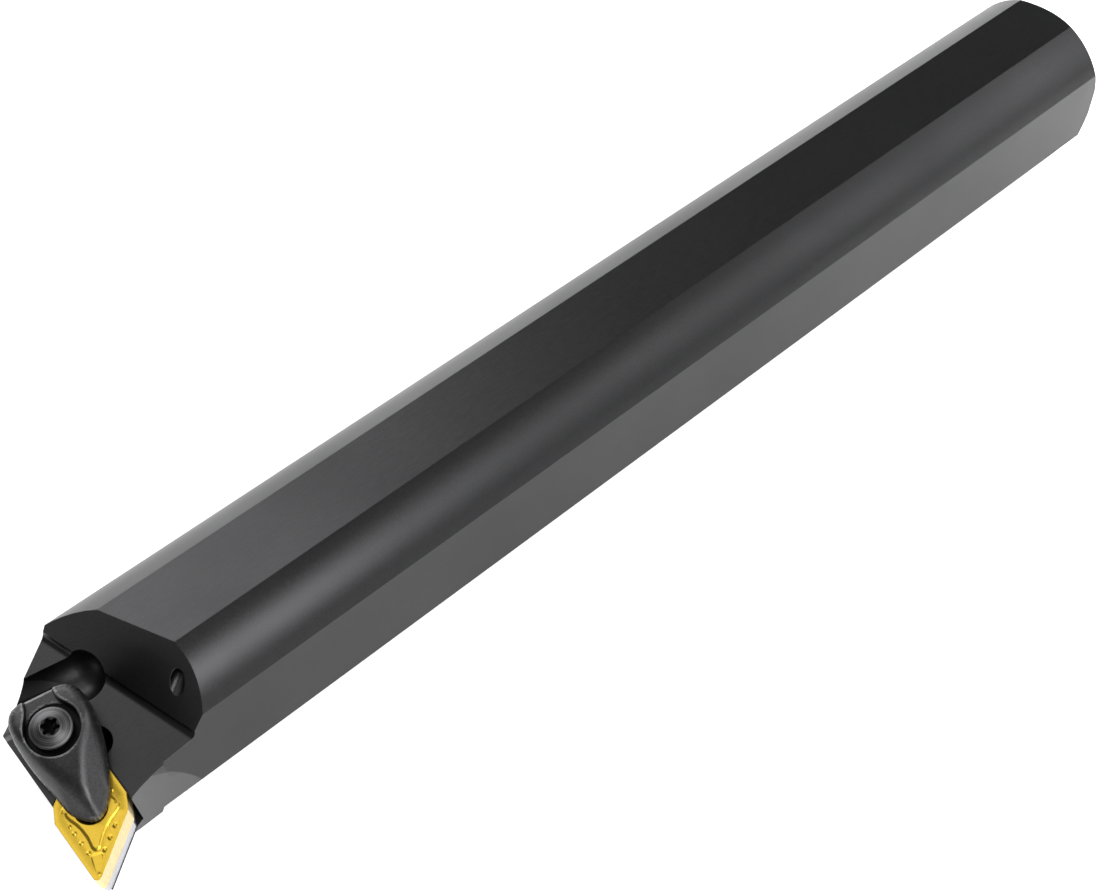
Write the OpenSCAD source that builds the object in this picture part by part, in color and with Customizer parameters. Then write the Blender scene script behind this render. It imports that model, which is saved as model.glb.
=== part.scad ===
// Boring bar, right hand, with a 55 degree turning insert held by a top clamp.
// Origin: centre of the rear end face, on the shank axis. +X runs along the bar
// to the cutting corner, +Y to the cutting side and +Z up to the rake side.

/* [Shank] */
// Length from the rear end face to the cutting corner
bar_length = 300; // [280:5:320]
// Diameter of the round shank
shank_d = 40; // [39.5:0.25:41]
// Height over the top and bottom flats
flats_h = 37; // [36.5:0.25:37.5]
// Distance from the shank axis to the flat on the cutting side
side_flat_y = 17.7; // [17.5:0.05:17.9]
// Chamfer round the rear end
rear_chamfer = 2; // [1:0.5:3]

/* [Insert] */
// Distance from the shank axis to the cutting corner
tip_reach = 27; // [26.5:0.25:27.5]
// Side of the insert's rhombus, measured between sharp corners
insert_side = 15.5; // [15.3:0.05:15.7]
// Corner angle of the insert
insert_angle = 55; // [54:0.5:56]
// Thickness of the insert
insert_t = 6.35; // [5.56:0.01:6.35]
// Radius of the cutting corner
nose_r = 0.8; // [0.4:0.4:1.2]
// Diameter of the insert's hole
insert_hole_d = 5.16; // [5.1:0.01:5.3]
// Angle by which the leading edge falls back from square to the bar
lead = 3; // [2:0.5:4]
// Slope of the insert down to its front
axial_rake = 6; // [5:0.5:7]
// Slope of the insert down to the cutting side
radial_rake = 11; // [10:0.5:12]
// Thickness of the shim under the insert
shim_t = 4.76; // [4.5:0.01:5]
// How far the shim's sides stand back from the insert's
shim_inset = 0.35; // [0.2:0.05:0.5]
// Length cut off each side at the insert's two blunt corners
blunt_cut = 1.8; // [1.5:0.1:2.2]

/* [Head] */
// Deck level below the top of the insert
deck_drop = 0.2; // [0:0.05:0.4]
// Distance from the cutting corner to the foot of the shoulder
shoulder_reach = 30.35; // [30:0.05:30.8]
// Height of the upright wall at the shoulder's foot
shoulder_wall = 1.5; // [1.5:0.1:2]
// Rise of the shoulder from the deck
shoulder_slope = 45.4; // [44:0.2:47]
// Turn of the shoulder's foot from square to the seat
shoulder_turn = 15; // [14:0.2:17]
// Rounding where the wall meets the deck
shoulder_fillet = 1.4; // [0.8:0.1:1.4]
// Radius of the scallop milled in the flank behind the pocket
scallop_r = 31.5; // [30:0.5:33]
// Distance of the scallop's bottom from the shank axis
scallop_y = 17.93; // [17.8:0.01:18.1]
// Set-back of the front face from the leading edge
front_setback = 1.35; // [1:0.05:1.6]
// Lean of the flank under the shim, for clearance in the bore
boss_lean = 20; // [15:1:25]
// Radius of the groove that guides the clamp's heel
groove_r = 4.9; // [4.7:0.1:5]
// Radius of the hole that frees the inner corner of the pocket
relief_r = 3.15; // [3:0.05:3.2]

/* [Clamp] */
// Turn of the clamp from square to the seat
clamp_skew = 12.8; // [12:0.2:14]
// Distance from the insert's hole to the clamp screw
screw_reach = 13.7; // [13.5:0.1:13.9]
// Half the clamp's greatest width
clamp_half_w = 7.4; // [7.2:0.1:7.6]
// Height of the clamp over the insert
clamp_h = 8.3; // [8:0.1:8.6]
// Level of the floor that the screw head bears on
head_floor = 6; // [5.8:0.1:6.2]
// Diameter of the clamp screw's thread
screw_d = 5; // [5:0.1:5.2]
// Diameter of the clamp screw's head
head_d = 8; // [7.6:0.1:8.2]
// Free space between thread and hole, all round
thread_fit = 0.05; // [0.02:0.01:0.08]
// Gap between the heel and its groove
heel_fit = 0.1; // [0.1:0.05:0.3]

/* [Coolant] */
// Diameter of the threaded inlet at the rear
inlet_d = 11.8; // [11.4:0.1:12.4]
// Depth of the inlet's thread
inlet_depth = 15; // [12:1:18]
// Diameter of the long feed bore
feed_d = 7; // [6:0.5:7]
// Diameter of the outlet in the shoulder
outlet_d = 3; // [2.5:0.25:3]

/* [Hidden] */
$fn = 96;
big = 120;
shank_r = shank_d / 2;
steel = "#3a3b3f";
satin = "#4b4c50";

// Seat: x runs back from the cutting corner, y inward, z square out of the insert
seat_tilt = atan(tan(radial_rake) * cos(axial_rake));
half_angle = insert_angle / 2;
edge_turn = lead + insert_angle;
nose_c = nose_r / sin(half_angle) * [sin(lead + half_angle), cos(lead + half_angle)];
tip_x = bar_length - nose_r + nose_c.x * cos(axial_rake) - nose_c.y * sin(axial_rake) * sin(seat_tilt);
tip_y = tip_reach - nose_r + nose_c.y * cos(seat_tilt);
lead_dir = [sin(lead), cos(lead)];
trail_dir = [sin(edge_turn), cos(edge_turn)];
front_corner = insert_side * lead_dir;
side_corner = insert_side * trail_dir;
inner_corner = front_corner + side_corner;
hole_c = inner_corner / 2;
seat_depth = insert_t + shim_t;

// Head
head_r = shank_r + 0.6;
head_x = bar_length - 18.5;
flat_end_x = bar_length - 21;
scallop_x = bar_length - 21.3;
slant_at = [bar_length - 13.9, -15, 0];
slant_turn = 33.4;
slant_lean = 11.8;
relief_c = inner_corner + [0.55, -2.6];
boss_trail = 0.2;
wall_step = [0.25, 0.4];

// Clamp: x runs from the insert's hole to the rear, y to the front face
groove_x = 23.2;
groove_z = 0.7;
groove_end = 7.5;
clamp_rear = 20.8;
clamp_nose = -2.1;
clamp_gap = 0.6;
heel_bottom = -3;
heel_half_w = 5.4;
pin_r = 2.15;
pin_depth = 2.3;
recess_r = 4.8;
throat_half_w = 2.8;
shaft_clearance = 0.2;
spring_pocket_r = 3.75;
spring_top = 4;
spring_wire = 0.6;
spring_turns = 3.5;
spring_r = 3.2;
screw_tip = -14;
tap_depth = 17;

// Coolant
outlet_at = [bar_length - 29.96, 11.28, 12.46];
outlet_back = 9;
feed_end = [bar_length - 38, 7, 11.3];

function unit(v) = v / norm(v);

// Points of a rounded corner at q between the neighbours p and s
function corner(p, q, s, r, n) =
    let (
        a = unit(p - q),
        b = unit(s - q),
        half = acos(a * b) / 2,
        c = q + unit(a + b) * r / sin(half),
        va = q + a * r / tan(half) - c,
        vb = q + b * r / tan(half) - c,
        start = atan2(va.y, va.x),
        sweep = (atan2(vb.y, vb.x) - start + 540) % 360 - 180
    )
    r == 0 ? [q] : [for (i = [0:n]) c + r * [cos(start + sweep * i / n), sin(start + sweep * i / n)]];

// Closed outline through pts, each corner rounded by its own radius
function rounded(pts, radii, n = 8) =
    let (last = len(pts) - 1)
    [for (i = [0:last]) each corner(pts[(i + last) % len(pts)], pts[i], pts[(i + 1) % len(pts)], radii[i], n)];

module on_seat() {
    translate([tip_x, tip_y, 0])
        rotate([0, 0, 180])
            rotate([seat_tilt, -axial_rake, 0])
                children();
}

module on_clamp() {
    on_seat()
        translate([hole_c.x, hole_c.y, 0])
            rotate([0, 0, 90 - clamp_skew])
                children();
}

// Extrudes an outline drawn in x and z to both sides of y = 0
module side_slab(width) {
    rotate([90, 0, 0])
        linear_extrude(width, center = true)
            children();
}

module rod(p, q, r) {
    v = q - p;
    translate(p)
        rotate([0, acos(v.z / norm(v)), atan2(v.y, v.x)])
            cylinder(r = r, h = norm(v));
}

// Rhombus of the insert shrunk by inset, its blunt corners cut off
module rhombus(inset, sharp_r) {
    scale_by = (insert_side - 2 * inset / sin(insert_angle)) / insert_side;
    a = hole_c * (1 - scale_by);
    f = a + front_corner * scale_by;
    s = a + side_corner * scale_by;
    d = a + inner_corner * scale_by;
    polygon(rounded(
        [
            a,
            s - trail_dir * blunt_cut,
            s + lead_dir * blunt_cut,
            d,
            f + trail_dir * blunt_cut,
            f - lead_dir * blunt_cut,
        ],
        [sharp_r, 0.6, 0.6, sharp_r, 0.6, 0.6]
    ));
}

// Round bar with its flats, chamfered at the rear
module shank_blank() {
    difference() {
        rotate([0, 90, 0])
            rotate_extrude()
                polygon([
                    [0, 0],
                    [shank_r - rear_chamfer, 0],
                    [shank_r, rear_chamfer],
                    [shank_r, head_x],
                    [head_r, head_x + head_r - shank_r],
                    [head_r, bar_length],
                    [0, bar_length],
                ]);
        for (side = [-1, 1])
            translate([bar_length / 2, 0, side * (flats_h / 2 + big / 2)])
                cube([2 * bar_length, big, big], center = true);
        linear_extrude(big, center = true)
            polygon([
                [-1, side_flat_y],
                [flat_end_x, side_flat_y],
                [flat_end_x + 5, side_flat_y + 5],
                [flat_end_x + 5, big],
                [-1, big],
            ]);
        translate([scallop_x, scallop_y + scallop_r, 0])
            rotate([-4.4, -5.4, 0])
                cylinder(r = scallop_r, h = big, center = true, $fn = 180);
    }
}

// Support under the shim, out to the cutting corner
module seat_boss() {
    back = side_corner.x + 0.3;
    trail = [-trail_dir.y, trail_dir.x] * boss_trail;
    intersection() {
        on_seat()
            translate([0, 0, -seat_depth])
                difference() {
                    translate([0, 0, -30])
                        linear_extrude(30)
                            polygon([
                                trail,
                                trail + trail_dir * back / trail_dir.x,
                                [back, 17],
                                front_corner + [0, 1.5],
                            ]);
                    translate(trail)
                        rotate([boss_lean, 0, 90 - edge_turn])
                            translate([-big / 2, -big, -big / 2])
                                cube(big);
                }
        translate([bar_length / 2, 0, 0])
            cube([2 * bar_length, big, flats_h], center = true);
    }
}

// Room in front of the shoulder and over the deck
module gullet() {
    top = [0, shoulder_wall] + 40 * [cos(shoulder_slope), sin(shoulder_slope)];
    on_seat()
        rotate([0, 0, shoulder_turn])
            translate([shoulder_reach, 0, -deck_drop])
                side_slab(80)
                    polygon(rounded(
                        [[-60, 0], [0, 0], [0, shoulder_wall], top, [-60, top.y]],
                        [0, shoulder_fillet, 0, 0, 0]
                    ));
}

// Open wedge that takes the shim and the insert, with a step round its rim
module pocket() {
    reach = 45;
    on_seat() {
        translate([0, 0, -seat_depth])
            linear_extrude(big)
                polygon([
                    inner_corner,
                    inner_corner - reach * lead_dir,
                    inner_corner - reach * (lead_dir + trail_dir),
                    inner_corner - reach * trail_dir,
                ]);
        rim = inner_corner + wall_step.x / sin(half_angle) * unit(inner_corner);
        translate([0, 0, -deck_drop - wall_step.y])
            linear_extrude(big)
                polygon([
                    rim,
                    rim - reach * lead_dir,
                    rim - reach * (lead_dir + trail_dir),
                    rim - reach * trail_dir,
                ]);
        translate([relief_c.x, relief_c.y, -seat_depth - 0.4])
            cylinder(r = relief_r, h = big);
        translate([hole_c.x, hole_c.y, -seat_depth - 8])
            cylinder(r = 2, h = 20);
    }
}

// Channel across the head with a ball end, which the clamp's heel slides in
module heel_groove() {
    on_clamp()
        translate([groove_x, -groove_end, groove_z]) {
            sphere(groove_r);
            rotate([-90, 0, 0])
                cylinder(r = groove_r, h = 50);
        }
}

module coolant_way() {
    aim = unit([tip_x, tip_y, 0] - outlet_at);
    rod([-1, 0, 0], [inlet_depth, 0, 0], inlet_d / 2);
    rod([inlet_depth - 1, 0, 0], feed_end, feed_d / 2);
    rod(outlet_at - outlet_back * aim, outlet_at + 12 * aim, outlet_d / 2);
}

module bar_body() {
    color(steel)
        difference() {
            union() {
                shank_blank();
                seat_boss();
            }
            gullet();
            pocket();
            heel_groove();
            on_seat()
                rotate([0, 0, -lead])
                    translate([front_setback - big, -big / 2, -big / 2])
                        cube([big, 2 * big, big]);
            translate(slant_at)
                rotate([-slant_lean, 0, slant_turn])
                    translate([-big / 2, -big, -big / 2])
                        cube(big);
            on_clamp()
                translate([screw_reach, 0, -tap_depth])
                    cylinder(r = screw_d / 2 + thread_fit, h = big);
            coolant_way();
        }
}

module shim() {
    color("#b9b9c0")
        on_seat()
            translate([0, 0, -seat_depth])
                difference() {
                    linear_extrude(shim_t)
                        rhombus(shim_inset, nose_r);
                    translate([hole_c.x, hole_c.y, 0]) {
                        translate([0, 0, -1])
                            cylinder(r = 2.2, h = shim_t + 2);
                        translate([0, 0, shim_t - 2.2])
                            cylinder(r1 = 2.2, r2 = 3.5, h = 2.21);
                    }
                }
}

module shim_screw() {
    color(satin)
        on_seat()
            translate([hole_c.x, hole_c.y, -insert_t - 0.2])
                difference() {
                    rotate_extrude()
                        polygon([[0, -10.5], [1.6, -10.5], [2, -10], [2, -1.8], [3.2, 0], [0, 0]]);
                    translate([0, 0, -1.6])
                        star_socket(1.2, 2);
                }
}

module insert() {
    color("#e6bf40")
        on_seat()
            translate([0, 0, -insert_t])
                difference() {
                    linear_extrude(insert_t)
                        rhombus(0, nose_r);
                    translate([hole_c.x, hole_c.y, -1])
                        cylinder(r = insert_hole_d / 2, h = insert_t + 2);
                    translate([hole_c.x, hole_c.y, insert_t - 0.5])
                        cylinder(r1 = insert_hole_d / 2, r2 = insert_hole_d / 2 + 0.5, h = 0.51);
                }
}

module clamp_outline() {
    w = clamp_half_w;
    polygon(rounded(
        [
            [clamp_nose, -0.9],
            [0, -3],
            [4, -4.9],
            [10, 0.4 - w],
            [13.5, -w],
            [17.5, 0.1 - w],
            [clamp_rear, 0.9 - w],
            [clamp_rear, w - 1.3],
            [17.5, w - 0.4],
            [13.5, w - 0.1],
            [10, w - 0.4],
            [4, 5.1],
            [0.8, 3.9],
            [clamp_nose, 0.9],
        ],
        [0.6, 4, 8, 8, 6, 6, 2.2, 3, 6, 6, 8, 6, 2, 0.6]
    ));
}

module clamp_profile() {
    polygon(rounded(
        [
            [clamp_nose, 0],
            [5.2, 0],
            [6, clamp_gap],
            [clamp_rear, clamp_gap],
            [clamp_rear, clamp_h - 0.6],
            [16.5, clamp_h],
            [11, clamp_h - 0.7],
            [5, 5.4],
            [clamp_nose, 0.8],
        ],
        [0, 0, 0, 0, 1.6, 6, 10, 10, 0]
    ));
}

module clamp_section() {
    side = [[0, clamp_half_w + 0.1], [4.5, clamp_half_w - 0.1], [clamp_h + 0.1, clamp_half_w - 1.2]];
    polygon(rounded(
        concat(side, [for (i = [2:-1:0]) [side[i].x, -side[i].y]]),
        [0, 6, 2.2, 2.2, 6, 0]
    ));
}

module clamp() {
    color(satin)
        on_clamp()
            difference() {
                union() {
                    intersection() {
                        translate([0, 0, -1])
                            linear_extrude(20)
                                clamp_outline();
                        side_slab(30)
                            clamp_profile();
                        translate([30, 0, 0])
                            rotate([0, -90, 0])
                                linear_extrude(40)
                                    clamp_section();
                    }
                    intersection() {
                        translate([groove_x - groove_r, -heel_half_w, heel_bottom])
                            cube([clamp_rear - groove_x + groove_r, 2 * heel_half_w, 5]);
                        translate([groove_x, 0, groove_z])
                            rotate([90, 0, 0])
                                cylinder(r = groove_r - heel_fit, h = 30, center = true);
                    }
                    translate([0.1, 0, -pin_depth])
                        cylinder(r = pin_r, h = pin_depth + 1);
                }
                translate([screw_reach, 0, head_floor]) {
                    cylinder(r = recess_r, h = 10);
                    translate([0, -throat_half_w, 0])
                        cube([20, 2 * throat_half_w, 10]);
                }
                translate([screw_reach, 0, -5])
                    cylinder(r = screw_d / 2 + shaft_clearance, h = 20);
                translate([screw_reach, 0, -5])
                    cylinder(r = spring_pocket_r, h = spring_top + 5);
            }
}

// Six-lobed socket, its lobes reaching 1.3 times the radius given
module star_socket(r, h) {
    linear_extrude(h) {
        circle(r);
        for (a = [0:60:300])
            rotate(a)
                translate([r, 0])
                    circle(r * 0.3);
    }
}

module clamp_screw() {
    head_r = head_d / 2;
    color(satin)
        on_clamp()
            translate([screw_reach, 0, 0])
                difference() {
                    rotate_extrude()
                        polygon([
                            [0, screw_tip],
                            [screw_d / 2 - 0.5, screw_tip],
                            [screw_d / 2, screw_tip + 0.5],
                            [screw_d / 2, head_floor],
                            [head_r - 0.2, head_floor],
                            [head_r, head_floor + 0.2],
                            [head_r, head_floor + 1.9],
                            [head_r - 0.15, head_floor + 2.05],
                            [2.2, head_floor + 2.9],
                            [0, head_floor + 2.9],
                        ]);
                    translate([0, 0, head_floor + 0.7])
                        star_socket(1.45, 4);
                    translate([0, 0, head_floor + 2.5])
                        cylinder(r1 = 1.7, r2 = 2.1, h = 0.41);
                }
}

// Coil spring round the clamp screw, between the deck and the clamp
module clamp_spring() {
    steps = 18;
    ring = 8;
    count = floor(spring_turns * steps);
    low = -deck_drop + spring_wire / 2;
    high = spring_top - spring_wire / 2;
    function wire(i) = [for (k = [0:ring - 1])
        let (
            a = 360 * i / steps,
            b = 360 * k / ring,
            radius = spring_r + spring_wire / 2 * cos(b),
            z = low + (high - low) * i / count + spring_wire / 2 * sin(b)
        )
        [radius * cos(a), radius * sin(a), z]];
    function cell(i, k) = i * ring + k % ring;
    color("#8b8c90")
        on_clamp()
            translate([screw_reach, 0, 0])
                polyhedron(
                    points = [for (i = [0:count]) each wire(i)],
                    faces = concat(
                        [[for (k = [0:ring - 1]) cell(0, k)]],
                        [for (i = [0:count - 1], k = [0:ring - 1])
                            [cell(i, k), cell(i + 1, k), cell(i + 1, k + 1), cell(i, k + 1)]],
                        [[for (k = [ring - 1:-1:0]) cell(count, k)]]
                    )
                );
}

bar_body();
shim();
shim_screw();
insert();
clamp();
clamp_screw();
clamp_spring();
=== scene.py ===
import math
from functools import partial
import bpy
import numpy as np
from mathutils import Matrix


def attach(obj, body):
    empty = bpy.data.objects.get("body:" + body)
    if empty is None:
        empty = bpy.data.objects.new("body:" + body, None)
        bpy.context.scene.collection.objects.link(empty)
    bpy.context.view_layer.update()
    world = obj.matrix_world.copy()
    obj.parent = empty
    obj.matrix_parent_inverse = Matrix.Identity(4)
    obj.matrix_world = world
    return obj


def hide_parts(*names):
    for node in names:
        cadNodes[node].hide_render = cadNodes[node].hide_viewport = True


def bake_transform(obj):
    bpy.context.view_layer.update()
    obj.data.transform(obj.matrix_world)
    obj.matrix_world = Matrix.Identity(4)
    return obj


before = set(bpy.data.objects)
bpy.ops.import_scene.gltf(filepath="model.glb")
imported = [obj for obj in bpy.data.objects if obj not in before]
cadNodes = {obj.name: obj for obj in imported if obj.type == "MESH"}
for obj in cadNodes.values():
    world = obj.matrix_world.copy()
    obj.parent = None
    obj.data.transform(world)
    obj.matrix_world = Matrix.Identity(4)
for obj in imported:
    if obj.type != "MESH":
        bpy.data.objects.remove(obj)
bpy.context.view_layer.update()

# Boring bar in its studio. All shapes are worked out in millimetres and scaled to metres at the end.
mm = 0.001

# The insert's seat: origin at the sharp cutting corner, x to the rear, y inward, z out of the rake face
seatOrigin = np.array([300.045, 27.666, 0.0])
seatAxes = np.array([
    [-0.994522, 0.0, 0.104528],
    [0.0198397, -0.9818225, 0.1887617],
    [0.1026284, 0.1898015, 0.9764440],
])
insertHole = np.array([6.978, 11.846])
# The clamp's own axes inside the seat: u from the insert's hole to the screw, w to the shank side
clampU = np.array([0.2215, 0.9752])
clampW = np.array([0.9752, -0.2215])
screwReach = 13.7   # from the insert's hole to the screw


def fromSeat(points):
    return seatOrigin + points @ seatAxes


def fromClamp(points):  # u, w, z to the model's frame, in mm
    flat = insertHole + points[:, :1] * clampU + points[:, 1:2] * clampW
    return fromSeat(np.column_stack([flat, points[:, 2]]))


def onScrewAxis(z):  # a point of the clamp screw's axis, in mm
    return fromClamp(np.array([[screwReach, 0, z]]))[0]


def linear(hexColour):  # sRGB hex to Blender's linear colour
    parts = [int(hexColour[i:i + 2], 16) / 255 for i in (1, 3, 5)]
    return [c / 12.92 if c <= 0.04045 else ((c + 0.055) / 1.055) ** 2.4 for c in parts] + [1.0]


def smoothStep(low, high, value):
    t = np.clip((value - low) / (high - low), 0, 1)
    return t * t * (3 - 2 * t)


def addObject(name, data):
    made = bpy.data.objects.new(name, data)
    bpy.context.scene.collection.objects.link(made)
    return made


def placeMatrix(x, y, z, at):  # three axes and an origin
    place = np.eye(4)
    place[:3, 0], place[:3, 1], place[:3, 2], place[:3, 3] = x, y, z, at
    return Matrix(place.tolist())


def meshPiece(name, points, faces, material, sharpAngle=None):
    mesh = bpy.data.meshes.new(name)
    mesh.from_pydata((np.asarray(points) * mm).tolist(), [], faces)
    mesh.materials.append(material)
    mesh.shade_smooth()
    if sharpAngle:
        mesh.set_sharp_from_angle(angle=math.radians(sharpAngle))
    mesh.update()
    return addObject(name, mesh)


def gridFaces(rows, columns, wrapRows=False):  # quads of a grid whose columns run round
    r = np.arange(rows if wrapRows else rows - 1)[:, None]
    c = np.arange(columns)[None, :]
    nextRow, nextColumn = (r + 1) % rows, (c + 1) % columns
    quads = np.stack([r * columns + c, r * columns + nextColumn,
                      nextRow * columns + nextColumn, nextRow * columns + c], -1)
    return quads.reshape(-1, 4).tolist()


# Adds a node. Links are the inputs by name or number: another node's output, or a plain value.
def addNode(tree, kind, links=None, out=0, **settings):
    made = tree.nodes.new(kind)
    for name, value in settings.items():
        setattr(made, name, value)
    for socket, source in (links or {}).items():
        if isinstance(source, bpy.types.NodeSocket):
            tree.links.new(source, made.inputs[socket])
        else:
            made.inputs[socket].default_value = source
    return made.outputs[out] if made.outputs else made


def newMaterial(name):  # an empty material, its node maker, and the place on the part in mm
    material = bpy.data.materials.new(name)
    material.use_nodes = True
    material.node_tree.nodes.clear()
    node = partial(addNode, material.node_tree)
    coords = node("ShaderNodeTexCoord", out="Object")
    return material, node, node("ShaderNodeVectorMath", {0: coords, 3: 1000.0}, operation="SCALE")


barFinish = {
    "darkTone": "#3d3d3e", "lightTone": "#474748",
    "cloudTone": "#3a3a3b", "cloudMm": 38.0, "cloudShare": 0.4,
    "roughness": (0.37, 0.43), "gritRoughness": 0.03,
    "grainMm": 0.30,                   # grit marks of about 0.05 mm, drawn coarser so that they show
    "shankRadius": 20.0, "shankSlack": 0.06,
    "ringStretch": (1.6, 0.5, 0.5),    # the round shank's marks run round it
    "lineStretch": (0.12, 1.4, 1.4),   # the flats' marks run along them
    "fineShare": 0.45, "bump": 0.12, "bumpMm": 0.04,
    "scallopHighlightTone": "#5c5c5d",             # the scallop cut by a mill beside the seat, painted lighter as a painted highlight
    "millAt": (300.7, 0, -18.7), "millReach": 28.8, "millFade": 0.2,   # the scallop's end on the side flat
    "sideFacing": 0.6,
    # the edge tone is painted on edges: partly worn edges, partly a painted highlight
    "edgeWearAndHighlight": "#7d7d7e", "edgeMm": 0.16, "edgeLean": 0.84, "edgeShare": 0.35,
}


# Alloy steel, ground and then blackened: a dark satin skin, fine grit marks, edges painted slightly lighter,
# partly as worn edges and partly as a painted highlight
def blackenedSteel():
    s = barFinish
    material, node, place = newMaterial("alloy_steel_ground_and_blackened")
    crossPlace = node("ShaderNodeVectorMath", {0: place, 1: (0, 1, 1)}, operation="MULTIPLY")
    radius = node("ShaderNodeVectorMath", {0: crossPlace}, out="Value", operation="LENGTH")
    onRound = node("ShaderNodeMath", {0: radius, 1: s["shankRadius"], 2: s["shankSlack"]},
                   operation="COMPARE")
    grainScale = 1 / s["grainMm"]
    fine = node("ShaderNodeTexNoise", {"Vector": place, "Scale": grainScale, "Detail": 2.0}, out="Fac")
    ringPlace = node("ShaderNodeVectorMath", {0: place, 1: s["ringStretch"]}, operation="MULTIPLY")
    rings = node("ShaderNodeTexNoise", {"Vector": ringPlace, "Scale": grainScale, "Detail": 2.0}, out="Fac")
    linePlace = node("ShaderNodeVectorMath", {0: place, 1: s["lineStretch"]}, operation="MULTIPLY")
    lines = node("ShaderNodeTexNoise", {"Vector": linePlace, "Scale": grainScale, "Detail": 2.0}, out="Fac")
    cloud = node("ShaderNodeTexNoise", {"Vector": place, "Scale": 1 / s["cloudMm"], "Detail": 4.0}, out="Fac")
    marks = node("ShaderNodeMix", {0: onRound, 2: lines, 3: rings})
    grit = node("ShaderNodeMix", {0: s["fineShare"], 2: marks, 3: fine})
    gritShare = node("ShaderNodeMapRange", {0: grit, 1: 0.32, 2: 0.68, 3: 0.0, 4: 1.0})
    cloudShare = node("ShaderNodeMapRange", {0: cloud, 1: 0.35, 2: 0.65, 3: 0.0, 4: s["cloudShare"]})
    tone = node("ShaderNodeMix", {0: gritShare, 6: linear(s["darkTone"]), 7: linear(s["lightTone"])},
                out=2, data_type="RGBA")
    tone = node("ShaderNodeMix", {0: cloudShare, 6: tone, 7: linear(s["cloudTone"])}, out=2, data_type="RGBA")
    # the scallop cut by a mill in the side beside the pocket, which ends in an arc on the side flat, painted
    # lighter there as a painted highlight
    trueNormal = node("ShaderNodeNewGeometry", out="True Normal")
    sideways = node("ShaderNodeVectorMath", {0: trueNormal, 1: (0, 1, 0)}, out="Value",
                    operation="DOT_PRODUCT")
    facesSide = node("ShaderNodeMath", {0: sideways, 1: s["sideFacing"]}, operation="GREATER_THAN")
    fromMill = node("ShaderNodeVectorMath", {0: place, 1: s["millAt"]}, operation="SUBTRACT")
    millArm = node("ShaderNodeVectorMath", {0: fromMill, 1: (1, 0, 1)}, operation="MULTIPLY")
    millGap = node("ShaderNodeVectorMath", {0: millArm}, out="Value", operation="LENGTH")
    inMill = node("ShaderNodeMapRange", {
        0: millGap, 1: s["millReach"], 2: s["millReach"] + s["millFade"], 3: 1.0, 4: 0.0})
    # painted highlight: side-facing faces inside the scallop get the lighter tone
    scallopHighlight = node("ShaderNodeMath", {0: facesSide, 1: inMill}, operation="MULTIPLY")
    tone = node("ShaderNodeMix", {0: scallopHighlight, 6: tone, 7: linear(s["scallopHighlightTone"])}, out=2, data_type="RGBA")
    # edges painted lighter where the rounded normal leaves the flat one: partly worn edges, partly a painted
    # highlight
    rounded = node("ShaderNodeBevel", {"Radius": s["edgeMm"] * mm}, samples=6)
    lean = node("ShaderNodeVectorMath", {0: rounded, 1: trueNormal}, out="Value", operation="DOT_PRODUCT")
    edge = node("ShaderNodeMapRange", {0: lean, 1: 1.0, 2: s["edgeLean"], 3: 0.0, 4: s["edgeShare"]})
    tone = node("ShaderNodeMix", {0: edge, 6: tone, 7: linear(s["edgeWearAndHighlight"])}, out=2, data_type="RGBA")
    low, high = s["roughness"]
    cloudRough = node("ShaderNodeMapRange", {0: cloud, 1: 0.3, 2: 0.7, 3: low, 4: high})
    gritRough = node("ShaderNodeMapRange", {
        0: grit, 1: 0.3, 2: 0.7, 3: -s["gritRoughness"], 4: s["gritRoughness"]})
    roughness = node("ShaderNodeMath", {0: cloudRough, 1: gritRough}, operation="ADD")
    bump = node("ShaderNodeBump", {
        "Strength": s["bump"], "Distance": s["bumpMm"] * mm, "Height": grit, "Normal": rounded})
    skin = node("ShaderNodeBsdfPrincipled", {
        "Base Color": tone, "Metallic": 1.0, "Roughness": roughness, "Normal": bump})
    node("ShaderNodeOutputMaterial", {"Surface": skin})
    return material


clampFinish = {
    # the bright tone is painted on sharp edges: partly worn edges, partly a painted highlight
    "darkTone": "#444445", "lightTone": "#525253", "bright": "#a6a6a7",
    "recessShadeTone": "#1c1c1c",   # painted shade in the well round the screw's head
    "roughness": (0.41, 0.51),
    "grainMm": 0.35,           # cast and tumbled skin, pits of about 0.1 mm drawn coarser
    "blotchMm": 2.6, "rubbedAndLit": (0.15, 0.8),
    "bump": 0.35, "bumpMm": 0.06,
}


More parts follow.
